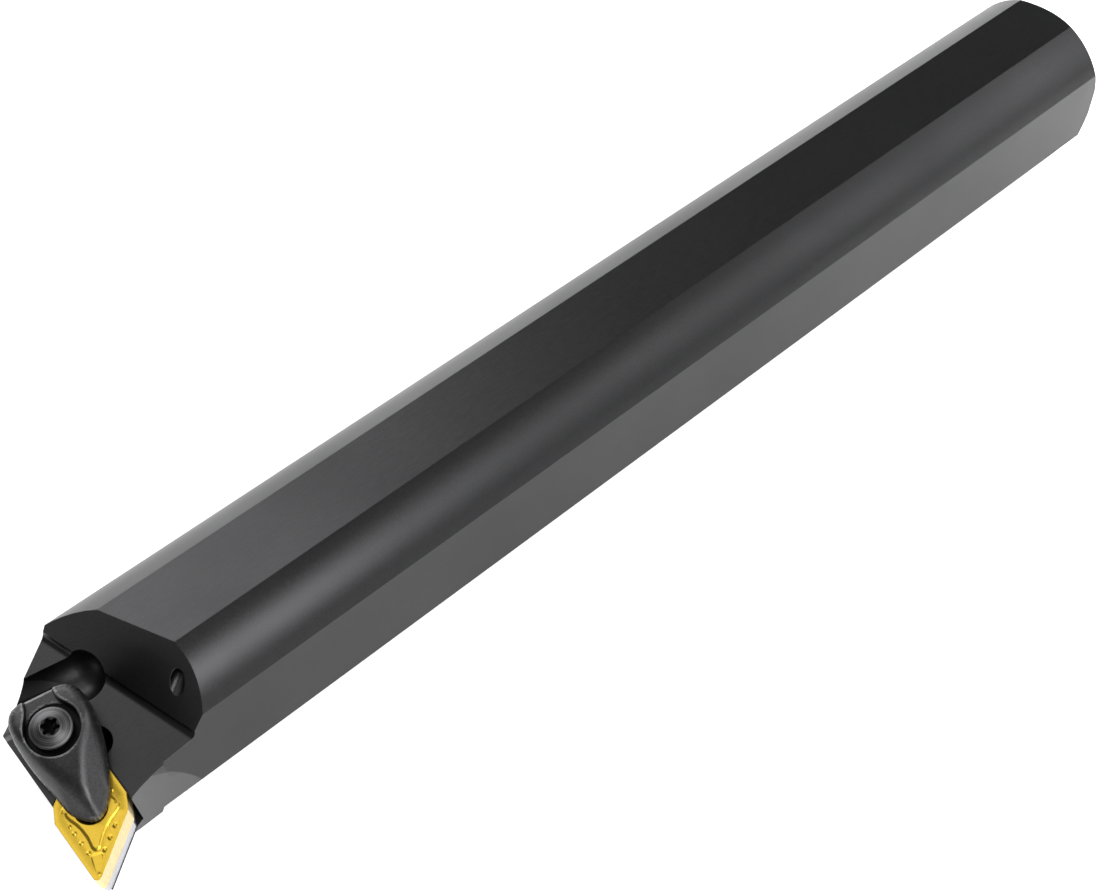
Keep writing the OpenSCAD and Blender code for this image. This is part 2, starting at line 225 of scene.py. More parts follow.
# Precision-cast steel, tumbled and blackened: dark satin skin, orange-peel grain, high edges painted grey,
# partly as worn edges and partly as a painted highlight, and painted shade in the well round the screw's head
def castSteel():
    s = clampFinish
    material, node, place = newMaterial("cast_steel_tumbled_and_blackened")
    # edges painted bright by their curvature: partly worn edges, partly a painted highlight
    wearAndHighlight = node("ShaderNodeAttribute", out="Fac", attribute_name="wearAndHighlight")
    grain = node("ShaderNodeTexNoise", {"Vector": place, "Scale": 1 / s["grainMm"], "Detail": 3.0}, out="Fac")
    blotch = node("ShaderNodeTexNoise", {"Vector": place, "Scale": 1 / s["blotchMm"], "Detail": 4.0},
                  out="Fac")
    patch = node("ShaderNodeMapRange", {0: blotch, 1: 0.35, 2: 0.62, 3: s["rubbedAndLit"][0], 4: s["rubbedAndLit"][1]})
    rubbedAndLit = node("ShaderNodeMath", {0: wearAndHighlight, 1: patch}, operation="MULTIPLY")
    grainShare = node("ShaderNodeMapRange", {0: grain, 1: 0.3, 2: 0.7, 3: 0.0, 4: 1.0})
    tone = node("ShaderNodeMix", {0: grainShare, 6: linear(s["darkTone"]), 7: linear(s["lightTone"])},
                out=2, data_type="RGBA")
    tone = node("ShaderNodeMix", {0: rubbedAndLit, 6: tone, 7: linear(s["bright"])}, out=2, data_type="RGBA")
    # painted shade: the well round the screw's head is darkened
    recessShade = node("ShaderNodeAttribute", out="Fac", attribute_name="recessShade")
    tone = node("ShaderNodeMix", {0: recessShade, 6: tone, 7: linear(s["recessShadeTone"])}, out=2, data_type="RGBA")
    low, high = s["roughness"]
    roughness = node("ShaderNodeMapRange", {0: blotch, 1: 0.3, 2: 0.7, 3: low, 4: high})
    bump = node("ShaderNodeBump", {"Strength": s["bump"], "Distance": s["bumpMm"] * mm, "Height": grain})
    skin = node("ShaderNodeBsdfPrincipled", {
        "Base Color": tone, "Metallic": 1.0, "Roughness": roughness, "Normal": bump})
    node("ShaderNodeOutputMaterial", {"Surface": skin})
    return material


screwFinish = {
    "darkTone": "#525253", "lightTone": "#7c7c7d",
    "socketScaleAndShadeTone": "#1b1b1b",    # the punched star painted near-black: partly the black heat-treatment scale it keeps, partly painted shade in the deep socket
    "socketFrom": 1.66, "socketTo": 1.74, "socketBelow": 8.7, "socketFade": 0.1,
    "roughness": (0.28, 0.40), "anisotropy": 0.7,
    "ringMm": 0.16,             # turning marks of about 0.1 mm, drawn a little coarser
    "bump": 0.3, "bumpMm": 0.03,
}


# Heat-treated screw steel, turned and oiled: grey, fine rings round its own axis, the star socket painted
# near-black, partly its heat-treatment scale and partly painted shade
def turnedSteel():
    s = screwFinish
    material, node, place = newMaterial("screw_steel_turned_and_oiled")
    axis, centre = tuple(seatAxes[2]), tuple(onScrewAxis(0))
    arm = node("ShaderNodeVectorMath", {0: place, 1: centre}, operation="SUBTRACT")
    along = node("ShaderNodeVectorMath", {0: arm, 1: axis}, out="Value", operation="DOT_PRODUCT")
    axial = node("ShaderNodeVectorMath", {0: axis, 3: along}, operation="SCALE")
    flat = node("ShaderNodeVectorMath", {0: arm, 1: axial}, operation="SUBTRACT")
    radius = node("ShaderNodeVectorMath", {0: flat}, out="Value", operation="LENGTH")
    path = node("ShaderNodeMath", {0: radius, 1: along}, operation="ADD")
    rings = node("ShaderNodeTexNoise", {"W": path, "Scale": 1 / s["ringMm"], "Detail": 2.0}, out="Fac",
                 noise_dimensions="1D")
    share = node("ShaderNodeMapRange", {0: rings, 1: 0.3, 2: 0.7, 3: 0.0, 4: 1.0})
    tone = node("ShaderNodeMix", {0: share, 6: linear(s["darkTone"]), 7: linear(s["lightTone"])},
                out=2, data_type="RGBA")
    # the socket and the ring round it painted near-black: partly its scale, partly painted shade
    black = node("ShaderNodeMapRange", {0: radius, 1: s["socketFrom"], 2: s["socketTo"], 3: 1.0, 4: 0.0})
    sunk = node("ShaderNodeMapRange", {
        0: along, 1: s["socketBelow"] - s["socketFade"], 2: s["socketBelow"], 3: 1.0, 4: 0.0})
    inSocket = node("ShaderNodeMath", {0: black, 1: sunk}, operation="MULTIPLY")
    tone = node("ShaderNodeMix", {0: inSocket, 6: tone, 7: linear(s["socketScaleAndShadeTone"])}, out=2, data_type="RGBA")
    low, high = s["roughness"]
    roughness = node("ShaderNodeMapRange", {0: rings, 1: 0.3, 2: 0.7, 3: low, 4: high})
    bump = node("ShaderNodeBump", {"Strength": s["bump"], "Distance": s["bumpMm"] * mm, "Height": rings})
    across = node("ShaderNodeVectorMath", {0: axis, 1: flat}, operation="CROSS_PRODUCT")
    spin = node("ShaderNodeVectorMath", {0: across}, operation="NORMALIZE")
    skin = node("ShaderNodeBsdfPrincipled", {
        "Base Color": tone, "Metallic": 1.0, "Roughness": roughness, "Anisotropic": s["anisotropy"],
        "Tangent": spin, "Normal": bump})
    node("ShaderNodeOutputMaterial", {"Surface": skin})
    return material


insertFinish = {
    "deepGold": "#dab238", "gold": "#e9c74c",
    # the flank tones are paler than the gold: a painted reflection of the bright floor
    "deepFlankReflection": "#e0c88a", "flank": "#f0dda4",
    "roughness": (0.30, 0.39),
    "grainMm": 0.16,                      # pressed powder grain, far finer in truth
    "streakMm": 0.3,                      # grinding streaks of about 0.1 mm, drawn coarser
    "streakStretch": (1.0, 1.0, 0.15),    # the streaks run up and down the flanks
    "flankFrom": 0.5, "flankTo": 0.15,    # the normal's share along the insert's axis
    "bump": 0.15, "bumpMm": 0.03,
}


# Titanium nitride on sintered carbide: golden, satin from the powder grain, ground flanks streaked and
# painted paler as a painted reflection of the bright floor they face
def nitrideCoat():
    s = insertFinish
    material, node, place = newMaterial("carbide_pressed_and_nitride_coated")
    facing = node("ShaderNodeNewGeometry", out="Normal")
    rise = node("ShaderNodeVectorMath", {0: facing, 1: tuple(seatAxes[2])}, out="Value",
                operation="DOT_PRODUCT")
    steep = node("ShaderNodeMath", {0: rise}, operation="ABSOLUTE")
    flank = node("ShaderNodeMapRange", {0: steep, 1: s["flankTo"], 2: s["flankFrom"], 3: 1.0, 4: 0.0},
                 interpolation_type="SMOOTHSTEP")
    grain = node("ShaderNodeTexNoise", {"Vector": place, "Scale": 1 / s["grainMm"], "Detail": 2.0}, out="Fac")
    stretched = node("ShaderNodeVectorMath", {0: place, 1: s["streakStretch"]}, operation="MULTIPLY")
    streak = node("ShaderNodeTexNoise", {"Vector": stretched, "Scale": 1 / s["streakMm"], "Detail": 2.0},
                  out="Fac")
    grainShare = node("ShaderNodeMapRange", {0: grain, 1: 0.3, 2: 0.7, 3: 0.0, 4: 1.0})
    streakShare = node("ShaderNodeMapRange", {0: streak, 1: 0.3, 2: 0.7, 3: 0.0, 4: 1.0})
    tone = node("ShaderNodeMix", {0: grainShare, 6: linear(s["deepGold"]), 7: linear(s["gold"])},
                out=2, data_type="RGBA")
    # the flanks painted paler by their facing: a painted reflection of the bright floor
    flankReflectionTone = node("ShaderNodeMix", {0: streakShare, 6: linear(s["deepFlankReflection"]), 7: linear(s["flank"])},
                out=2, data_type="RGBA")
    both = node("ShaderNodeMix", {0: flank, 6: tone, 7: flankReflectionTone}, out=2, data_type="RGBA")
    low, high = s["roughness"]
    roughness = node("ShaderNodeMapRange", {0: grain, 1: 0.3, 2: 0.7, 3: low, 4: high})
    bump = node("ShaderNodeBump", {"Strength": s["bump"], "Distance": s["bumpMm"] * mm, "Height": grain})
    skin = node("ShaderNodeBsdfPrincipled", {
        "Base Color": both, "Metallic": 1.0, "Roughness": roughness, "Normal": bump})
    node("ShaderNodeOutputMaterial", {"Surface": skin})
    return material


shimFinish = {
    "darkTone": "#b6b6be", "lightTone": "#cdcdd4", "roughness": (0.26, 0.38), "edgeMm": 0.15,
    "streakMm": 0.3, "streakStretch": (1.0, 1.0, 0.12),   # grinding streaks, drawn coarser than they are
}


# Tungsten carbide, ground: bright cool grey with fine streaks along the grinding
def groundCarbide():
    s = shimFinish
    material, node, place = newMaterial("tungsten_carbide_ground")
    stretched = node("ShaderNodeVectorMath", {0: place, 1: s["streakStretch"]}, operation="MULTIPLY")
    streak = node("ShaderNodeTexNoise", {"Vector": stretched, "Scale": 1 / s["streakMm"], "Detail": 2.0},
                  out="Fac")
    share = node("ShaderNodeMapRange", {0: streak, 1: 0.3, 2: 0.7, 3: 0.0, 4: 1.0})
    tone = node("ShaderNodeMix", {0: share, 6: linear(s["darkTone"]), 7: linear(s["lightTone"])},
                out=2, data_type="RGBA")
    low, high = s["roughness"]
    roughness = node("ShaderNodeMapRange", {0: streak, 1: 0.3, 2: 0.7, 3: low, 4: high})
    rounded = node("ShaderNodeBevel", {"Radius": s["edgeMm"] * mm}, samples=6)
    skin = node("ShaderNodeBsdfPrincipled", {
        "Base Color": tone, "Metallic": 1.0, "Roughness": roughness, "Normal": rounded})
    node("ShaderNodeOutputMaterial", {"Surface": skin})
    return material


wireFinish = {"darkTone": "#6d6d6f", "lightTone": "#88888a", "roughness": (0.28, 0.40), "grainMm": 0.25}


# Spring steel, drawn and oiled: mid grey, faintly mottled by the die and the oil
def drawnSteel():
    s = wireFinish
    material, node, place = newMaterial("spring_steel_drawn")
    grain = node("ShaderNodeTexNoise", {"Vector": place, "Scale": 1 / s["grainMm"], "Detail": 2.0}, out="Fac")
    share = node("ShaderNodeMapRange", {0: grain, 1: 0.3, 2: 0.7, 3: 0.0, 4: 1.0})
    tone = node("ShaderNodeMix", {0: share, 6: linear(s["darkTone"]), 7: linear(s["lightTone"])},
                out=2, data_type="RGBA")
    low, high = s["roughness"]
    roughness = node("ShaderNodeMapRange", {0: grain, 1: 0.3, 2: 0.7, 3: low, 4: high})
    skin = node("ShaderNodeBsdfPrincipled", {"Base Color": tone, "Metallic": 1.0, "Roughness": roughness})
    node("ShaderNodeOutputMaterial", {"Surface": skin})
    return material


barSteel = blackenedSteel()
clampSteel = castSteel()
screwSteel = turnedSteel()
coatedCarbide = nitrideCoat()
shimCarbide = groundCarbide()
springSteel = drawnSteel()
for nodeName, material in {"bar_body": barSteel, "shim": shimCarbide, "shim_screw": springSteel}.items():
    for slot in cadNodes[nodeName].material_slots:
        slot.material = material
print("materials made")


insertShape = {
    "side": 15.5, "angle": 55.0, "lead": 3.0, "thickness": 6.35,
    "nose": 0.8, "bluntCut": 1.8, "bluntNose": 0.6, "cornerSteps": 24,
    "holeRadius": 2.58, "holeChamfer": 0.45,
    # from the underside up to the rake face: how far out from the hole's radius, and height
    "holeWall": ((0.0, -6.35), (0.0, -3.0), (0.0, -0.55), (0.08, -0.40), (0.39, -0.05)),
    "hone": 0.06, "honeTurns": (30, 60, 90), "flankTop": 0.4, "footChamfer": 0.1, "flankRows": 6,
    "edgeDrop": 0.05, "landWidth": 0.18, "grooveDepth": 0.26, "grooveStart": 2.3,
    # the raised middle and the corner bosses: distance from the corner, half width
    "plateau": ((6.55, 0.0), (6.62, 0.2), (6.9, 0.42), (7.6, 0.62), (8.8, 1.05), (10.2, 1.8), (11.5, 2.75),
                (12.5, 3.75), (13.2, 4.3), (13.75, 4.42), (14.3, 4.42), (20.0, 4.42)),
    "wallWidth": 0.6,
    "boss": ((1.55, 0.0), (1.62, 0.16), (1.85, 0.3), (3.0, 0.5), (4.7, 0.82), (5.1, 0.82), (5.32, 0.6),
             (5.38, 0.0)),
    "bossTop": -0.07, "bossWall": 0.32, "bossBrim": 0.05,
    "dentAt": 2.0, "dentRadius": 0.34, "dentDepth": 0.10,
    "dotAt": ((5.95, 1.40), (7.91, 2.46), (9.87, 3.48)), "dotRadius": 0.5, "dotHeight": 0.15, "dotTop": 0.15,
    "pipAt": (11.21, -4.16), "pipRadius": 0.3, "pipStretch": 1.5, "pipHeight": 0.2, "pipTop": 0.2,
    "featureShift": 0.30, "columns": 560, "rows": 92, "edgeSamples": 1500, "bandSamples": 700,
}


def roundedCorner(before, at, after, radius, count):
    a, b = before - at, after - at
    a, b = a / np.linalg.norm(a), b / np.linalg.norm(b)
    half = math.acos(float(a @ b)) / 2
    centre = at + (a + b) / np.linalg.norm(a + b) * radius / math.sin(half)
    first, last = at + a * radius / math.tan(half) - centre, at + b * radius / math.tan(half) - centre
    start = math.atan2(first[1], first[0])
    sweep = (math.atan2(last[1], last[0]) - start + 3 * math.pi) % (2 * math.pi) - math.pi
    turns = start + sweep * np.linspace(0, 1, count)
    return centre + radius * np.column_stack([np.cos(turns), np.sin(turns)])


def insertOutline(s):
    leadWay = np.array([math.sin(math.radians(s["lead"])), math.cos(math.radians(s["lead"]))])
    turned = math.radians(s["lead"] + s["angle"])
    trailWay = np.array([math.sin(turned), math.cos(turned)])
    front, sideCorner = s["side"] * leadWay, s["side"] * trailWay
    inner, cut = front + sideCorner, s["bluntCut"]
    corners = [np.zeros(2), sideCorner - trailWay * cut, sideCorner + leadWay * cut,
               inner, front + trailWay * cut, front - leadWay * cut]
    radii = [s["nose"], s["bluntNose"], s["bluntNose"]] * 2
    return np.vstack([
        roundedCorner(corners[i - 1], corners[i], corners[(i + 1) % 6], radii[i], s["cornerSteps"])
        for i in range(6)
    ])


def resampled(points, count):  # evenly spaced points round a closed outline
    closed = np.vstack([points, points[:1]])
    steps = np.concatenate([[0], np.cumsum(np.linalg.norm(np.diff(closed, axis=0), axis=1))])
    at = np.linspace(0, steps[-1], count, endpoint=False)
    return np.column_stack([np.interp(at, steps, closed[:, k]) for k in (0, 1)])


def distanceTo(points, outline):  # least distance to a dense outline, 2000 points at a time to save memory
    return np.concatenate([
        np.sqrt(((block[:, None, :] - outline[None, :, :]) ** 2).sum(-1).min(1))
        for block in np.array_split(points, max(1, len(points) // 2000))
    ])


# Signed distance to a shape that is even about its length, given as distance along and half width
def bandDistance(along, across, band, samples):
    top = np.array(band)
    outline = resampled(np.vstack([top, top[::-1] * [1, -1]]), samples)
    inside = np.abs(across) < np.interp(along, top[:, 0], top[:, 1], left=-1, right=-1)
    return np.where(inside, -1, 1) * distanceTo(np.column_stack([along, across]), outline)


def rakeHeight(points, edgeDistance, s):
    half = math.radians(s["lead"] + s["angle"] / 2)
    longWay = np.array([math.sin(half), math.cos(half)])
    crossWay = np.array([math.cos(half), -math.sin(half)])
    along, across = points @ longWay, points @ crossWay
    middle = float(insertHole @ longWay)
    far = along > middle
    along = np.where(far, 2 * middle - along, along)   # both ends of the insert are alike
    across = np.where(far, -across, across) - s["featureShift"]
    groove = -s["edgeDrop"] - (s["grooveDepth"] - s["edgeDrop"]) * smoothStep(
        s["landWidth"], s["grooveStart"], edgeDistance)
    plateau = bandDistance(along, across, s["plateau"], s["bandSamples"])
    height = groove * smoothStep(0, s["wallWidth"], plateau)
    boss = bandDistance(along, across, s["boss"], s["bandSamples"])
    height += (s["bossTop"] - height) * (1 - smoothStep(-s["bossBrim"], s["bossWall"], boss))
    height -= s["dentDepth"] * (1 - smoothStep(0.0, s["dentRadius"], np.hypot(along - s["dentAt"], across)))
    for dotAlong, dotAcross in s["dotAt"]:
        gap = np.hypot(along - dotAlong, np.abs(across) - dotAcross) / s["dotRadius"]
        height += s["dotHeight"] * (1 - smoothStep(s["dotTop"], 1.0, gap))
    pipAlong, pipAcross = s["pipAt"]   # a small pip beside the raised middle
    gap = np.hypot((along - pipAlong) / s["pipStretch"], across - pipAcross) / s["pipRadius"]
    height += s["pipHeight"] * (1 - smoothStep(s["pipTop"], 1.0, gap))
    return height


def makeInsert(s):
    outline = resampled(insertOutline(s), s["columns"])
    way = outline - insertHole
    reach = np.linalg.norm(way, axis=1, keepdims=True)
    way = way / reach

    def ring(radial, z):
        return np.concatenate([insertHole + way * radial, np.full((len(outline), 1), z)], -1)[None]

    hole, hone, edge, foot = s["holeRadius"], s["hone"], -s["edgeDrop"], -s["thickness"]
    rows = [ring(hole + outward, z) for outward, z in s["holeWall"]]
    shares = np.linspace(0, 1, s["rows"])[:, None, None]
    chamfer = hole + s["holeChamfer"]
    top = insertHole + way * (chamfer + (reach - hone - chamfer) * shares)
    flatTop = top.reshape(-1, 2)
    edgeDistance = distanceTo(flatTop, resampled(insertOutline(s), s["edgeSamples"])) - hone * 0.5
    height = rakeHeight(flatTop, edgeDistance, s).reshape(s["rows"], -1)
    rows.append(np.concatenate([top, height[:, :, None]], -1))
    for turn in s["honeTurns"]:
        angle = math.radians(turn)
        rows.append(ring(reach - hone * (1 - math.sin(angle)), edge - hone * (1 - math.cos(angle))))
    rows += [ring(reach, z)
             for z in np.linspace(edge - s["flankTop"], foot + s["footChamfer"], s["flankRows"])]
    rows += [ring(reach - s["footChamfer"], foot), ring((reach + hole) / 2, foot)]
    grid = np.concatenate(rows, 0)
    faces = [face[::-1] for face in gridFaces(len(grid), len(outline), wrapRows=True)]   # turned outward
    return meshPiece("turning_insert", fromSeat(grid.reshape(-1, 3)), faces, coatedCarbide, 40)


insert = makeInsert(insertShape)
print("insert made", len(insert.data.polygons))


clampShape = {
    "cell": 0.147, "low": (-3.2, -8.4, -3.4), "high": (21.9, 8.4, 9.2),   # grid step and box, u w z
    # half widths of the plan outline: u, left, right
    "plan": ((-2.85, 0.0, 0.75), (-2.5, 0.9, 1.45), (-1.9, 1.8, 2.2), (-0.95, 2.65, 2.95), (0.05, 3.4, 3.65),
             (1.15, 3.9, 4.3), (3.0, 4.25, 5.0), (5.4, 4.8, 5.85), (7.9, 5.5, 6.6), (9.5, 5.9, 6.95),
             (11.5, 6.3, 7.3), (13.2, 6.55, 7.45), (15.6, 6.8, 7.55), (17.8, 6.75, 7.45), (19.0, 6.4, 7.15),
             (20.0, 5.85, 6.5), (20.7, 5.1, 5.7), (21.2, 4.0, 4.6), (21.6, 2.6, 3.2)),
    "planSamples": 900, "flankLean": 0.099, "leanFrom": 3.5,
    "noseRounding": 0.6, "noseEnd": 6.0, "flankRounding": (1.9, 1.7), "flankBlend": 1.5,
    # the rear's top: height, where it starts to fall and how steeply, and how far its lobes drop sideways
    "top": 8.3, "topSlope": 0.98, "frontFall": (15.5, 0.10), "rearFall": (17.0, 0.09), "crown": (0.3, 0.010),
    # facets, each through three points in u, w, z, and how softly it meets the ones before it
    "facets": (
        (((8.6, 2.9, 7.5), (8.6, -4.0, 6.7), (2.4, 1.3, 4.95)), 2.0),          # slope down to the nose
        (((8.8, 3.2, 7.5), (0.2, 0.62, 3.65), (5.4, 5.9, 3.4)), 0.5),          # right flank
        (((12.5, -5.6, 7.6), (4.0, -2.1, 4.6), (1.2, -4.1, 0.5)), 1.1),        # left flank
        (((2.94, -1.6, 4.45), (0.85, 0.35, 4.15), (-2.4, 0.5, 2.15)), 0.2),    # left of the nose
    ),
    "rear": 21.0, "rearRounding": 0.7, "rearLean": (6.3, 0.06),
    "bottom": 0.6, "padEnd": 5.6, "bottomRounding": 0.3,
    "heelCentre": (23.2, 0.7), "heelRadius": 4.8, "heelHalfWidth": 5.4, "heelBottom": -3.0, "heelTop": 2.0,
    "heelRounding": 0.4, "heelBlend": 0.6,
    "pinAt": 0.1, "pinRadius": 2.15, "pinBottom": -2.3, "pinTop": 0.6, "pinRounding": 0.5,
    "recessShift": 0.2, "recessRadius": 4.85, "recessFloor": 6.02, "recessRounding": 0.2,
    "throatShift": 0.2, "throatHalfWidth": 2.75, "throatFloor": 6.3, "throatFrom": 1.0,
    "throatRounding": 0.25, "throatBlend": (2.6, 1.5),   # left, right
    "lipRounding": 0.35, "boreRadius": 2.7, "boreRounding": 0.2, "springRadius": 3.75, "springTop": 4.0,
    "wearAndHighlightFrom": 0.12, "wearAndHighlightSpan": 2.0,                   # how sharp an edge has to be to be painted bright, partly as worn edges and partly as a painted highlight
    # where the painted shade in the well round the screw's head lies
    "recessShadeEdge": (-0.1, 0.15), "recessShadeTop": (0.5, 1.3), "recessShadeFrom": (5.0, 5.5),
}


def smoothMax(a, b, k):
    h = np.maximum(k - np.abs(a - b), 0) / k
    return np.maximum(a, b) + h * h * k / 4


def smoothMin(a, b, k):
    return -smoothMax(-a, -b, k)


def planeThrough(p, q, r):  # normal with positive z, and offset
    p, q, r = map(np.array, (p, q, r))
    normal = np.cross(q - p, r - p).astype(float)
    normal /= np.linalg.norm(normal)
    if normal[2] < 0:
        normal = -normal
    return normal, float(normal @ p)


def clampSides(u, w, s):  # signed distance to the plan outline, inside is negative
    plan = np.array(s["plan"])
    outline = resampled(np.vstack([plan[:, [0, 2]], (plan[:, [0, 1]] * [1, -1])[::-1]]), s["planSamples"])
    half = np.where(w > 0, np.interp(u, plan[:, 0], plan[:, 2], left=-1, right=-1),
                    np.interp(u, plan[:, 0], plan[:, 1], left=-1, right=-1))
    sign = np.where(np.abs(w) < half, -1, 1)
    return sign * distanceTo(np.column_stack([u.ravel(), w.ravel()]), outline).reshape(u.shape)


def clampField(u, w, z, s):  # distance-like field, negative inside the clamp
    side = clampSides(u[:, :, 0], w[:, :, 0], s)[:, :, None]
    side = side + s["flankLean"] * np.maximum(z - s["leanFrom"], 0)   # the flanks lean in above mid height
    (frontFrom, frontFall), (rearFrom, rearFall) = s["frontFall"], s["rearFall"]
    top = s["top"] - frontFall * np.maximum(frontFrom - u, 0) - rearFall * np.maximum(u - rearFrom, 0)
    crownAt, crownDrop = s["crown"]
    body = (z - top) * s["topSlope"] + crownDrop * (w - crownAt) ** 2
    for points, rounding in s["facets"]:
        normal, offset = planeThrough(*points)
        body = smoothMax(body, normal[0] * u + normal[1] * w + normal[2] * z - offset, rounding)
    left, right = s["flankRounding"]
    flankRounding = left + (right - left) * smoothStep(-s["flankBlend"], s["flankBlend"], w)
    noseRounding = s["noseRounding"]
    rounding = noseRounding + (flankRounding - noseRounding) * smoothStep(0.0, s["noseEnd"], u)
    body = smoothMax(body, side, rounding)
    leanFrom, lean = s["rearLean"]
    body = smoothMax(body, (u - s["rear"]) + lean * np.maximum(z - leanFrom, 0) ** 2, s["rearRounding"])
    body = smoothMax(body, np.where(u < s["padEnd"], -z, s["bottom"] - z), s["bottomRounding"])

    heelU, heelZ = s["heelCentre"]
    heel = np.hypot(u - heelU, z - heelZ) - s["heelRadius"]
    heel = smoothMax(heel, np.abs(w) - s["heelHalfWidth"], s["heelRounding"])
    heel = smoothMax(heel, u - s["rear"], s["heelRounding"])
    heel = np.maximum(heel, np.maximum(s["heelBottom"] - z, z - s["heelTop"]))
    body = smoothMin(body, heel, s["heelBlend"])
    pin = np.hypot(u - s["pinAt"], w) - s["pinRadius"]
    pin = smoothMax(pin, s["pinBottom"] - z, s["pinRounding"])
    body = np.minimum(body, np.maximum(pin, z - s["pinTop"]))

    # the round well and the open throat behind it, where the screw's head sits
    around = np.hypot(u - screwReach, w - s["recessShift"]) - s["recessRadius"]
    well = smoothMax(around, s["recessFloor"] - z, s["recessRounding"])
    throat = np.maximum(np.abs(w - s["throatShift"]) - s["throatHalfWidth"], screwReach - u)
    mouth = smoothMin(around, throat, np.where(w < 0, *s["throatBlend"]))
    mouth = smoothMax(mouth, s["throatFloor"] - z, s["throatRounding"])
    mouth = np.maximum(mouth, screwReach + s["throatFrom"] - u)
    body = smoothMax(body, -well, s["lipRounding"])
    body = smoothMax(body, -mouth, s["lipRounding"])
    reach = np.hypot(u - screwReach, w)
    body = smoothMax(body, s["boreRadius"] - reach, s["boreRounding"])
    pocket = np.maximum(reach - s["springRadius"], z - s["springTop"])
    return smoothMax(body, -pocket, s["boreRounding"])


# Vertices in the cells that the surface crosses, and quads across the edges that it crosses
def netSurface(field, low, cell):
    shape = np.array(field.shape)
    offsets = [(i, j, k) for i in (0, 1) for j in (0, 1) for k in (0, 1)]
    corners = {o: field[o[0]:shape[0] - 1 + o[0], o[1]:shape[1] - 1 + o[1], o[2]:shape[2] - 1 + o[2]]
               for o in offsets}
    count = sum((c < 0).astype(int) for c in corners.values())
    active = (count > 0) & (count < 8)
    total = np.zeros((int(active.sum()), 3))
    hits = np.zeros((len(total), 1))
    values = {o: c[active] for o, c in corners.items()}
    for o in offsets:
        for axis in range(3):
            if o[axis] == 0:
                other = tuple(1 if k == axis else o[k] for k in range(3))
                a, b = values[o], values[other]
                crossed = (a < 0) != (b < 0)
                share = np.where(crossed, a / np.where(crossed, a - b, 1), 0)
                point = np.tile(np.array(o, float), (len(a), 1))
                point[:, axis] = share
                total += point * crossed[:, None]
                hits += crossed[:, None]
    vertices = low + (np.argwhere(active) + total / hits) * cell
    index = -np.ones(active.shape, int)
    index[active] = np.arange(len(total))
    faces = []
    for axis in range(3):
        b, c = (axis + 1) % 3, (axis + 2) % 3
        near = np.moveaxis(field, (axis, b, c), (0, 1, 2))
        cells = np.moveaxis(index, (axis, b, c), (0, 1, 2))
        here, there = near[:-1, 1:-1, 1:-1] < 0, near[1:, 1:-1, 1:-1] < 0
        for inside, order in ((here & ~there, (0, 1, 2, 3)), (~here & there, (3, 2, 1, 0))):
            i, j, k = np.nonzero(inside)
            around = [cells[i, j, k], cells[i, j + 1, k], cells[i, j + 1, k + 1], cells[i, j, k + 1]]
            faces.append(np.column_stack([around[n] for n in order]))
    return vertices, np.vstack(faces)


# Two attributes for the clamp's finish: edges painted bright, partly as worn edges and partly as a painted
# highlight, and painted shade in the well round the screw's head
def markClamp(piece, vertices, field, s):
    bend = np.zeros_like(field)   # how sharply the surface bends outward
    for axis in range(3):
        bend += np.roll(field, 1, axis) + np.roll(field, -1, axis) - 2 * field
    at = np.clip(np.rint((vertices - s["low"]) / s["cell"]).astype(int), 1, np.array(field.shape) - 2)
    wearAndHighlight = bend[at[:, 0], at[:, 1], at[:, 2]] / s["cell"] ** 2 / s["wearAndHighlightSpan"] - s["wearAndHighlightFrom"]
    around = np.hypot(vertices[:, 0] - screwReach, vertices[:, 1] - s["recessShift"])
    height = vertices[:, 2]
    # painted shade for the well round the screw's head, fading out at its wall and above its floor
    recessShade = 1 - smoothStep(*s["recessShadeEdge"], around - s["recessRadius"])
    recessShade = recessShade * (1 - smoothStep(*s["recessShadeTop"], height - s["recessFloor"]))
    recessShade = recessShade * smoothStep(*s["recessShadeFrom"], height)
    for attributeName, value in (("wearAndHighlight", np.clip(wearAndHighlight, 0, 1)), ("recessShade", recessShade)):
        attribute = piece.data.attributes.new(attributeName, "FLOAT", "POINT")
        attribute.data.foreach_set("value", value.astype(np.float32))


def makeClamp(s):
    axes = [np.arange(s["low"][k], s["high"][k], s["cell"]) for k in range(3)]
    field = clampField(*np.meshgrid(*axes, indexing="ij"), s)
    vertices, faces = netSurface(field, np.array(s["low"]), s["cell"])
    # the clamp frame is left-handed in u, w, z, so the faces are turned over
    piece = meshPiece("top_clamp", fromClamp(vertices), faces[:, ::-1].tolist(), clampSteel)
    markClamp(piece, vertices, field, s)
    return piece


clamp = makeClamp(clampShape)
print("clamp made", len(clamp.data.polygons))


screwShape = {
    "headRadius": 3.88, "headFloor": 6.0, "rimTop": 7.95, "rimChamfer": 0.15, "rimFrom": 6.6, "rimRows": 4,
    "rimLip": ((0.04, 0.05), (0.13, 0.0)),   # inward and down from the rim's top edge
    "coneTop": 8.75, "coneInner": 1.86, "coneRows": 48,
    "ringPitch": 0.3, "ringDepth": 0.010,    # turned rings on the cone, coarser than they are
    "socketLip": ((1.80, 8.73), (1.71, 8.63)),                  # radius and height, from the cone to the star
    "socketOuter": 1.66, "socketInner": 1.16,
    # the star's size and height, from its rim to its floor
    "socketWall": ((1.0, 8.6), (0.99, 8.52), (0.985, 7.8), (0.98, 6.9), (0.5, 6.7), (0.02, 6.55)),
    "neckRadius": 2.4, "neckEnd": 1.6, "neckTaper": 0.3, "coreRadius": 2.03, "tip": -14.0, "tipChamfer": 0.5,
    "pitch": 0.8, "crestRadius": 2.06, "ridge": 0.44, "threadStart": 0.55, "threadShort": 0.7,
    "pole": 0.02, "columns": 144,
}


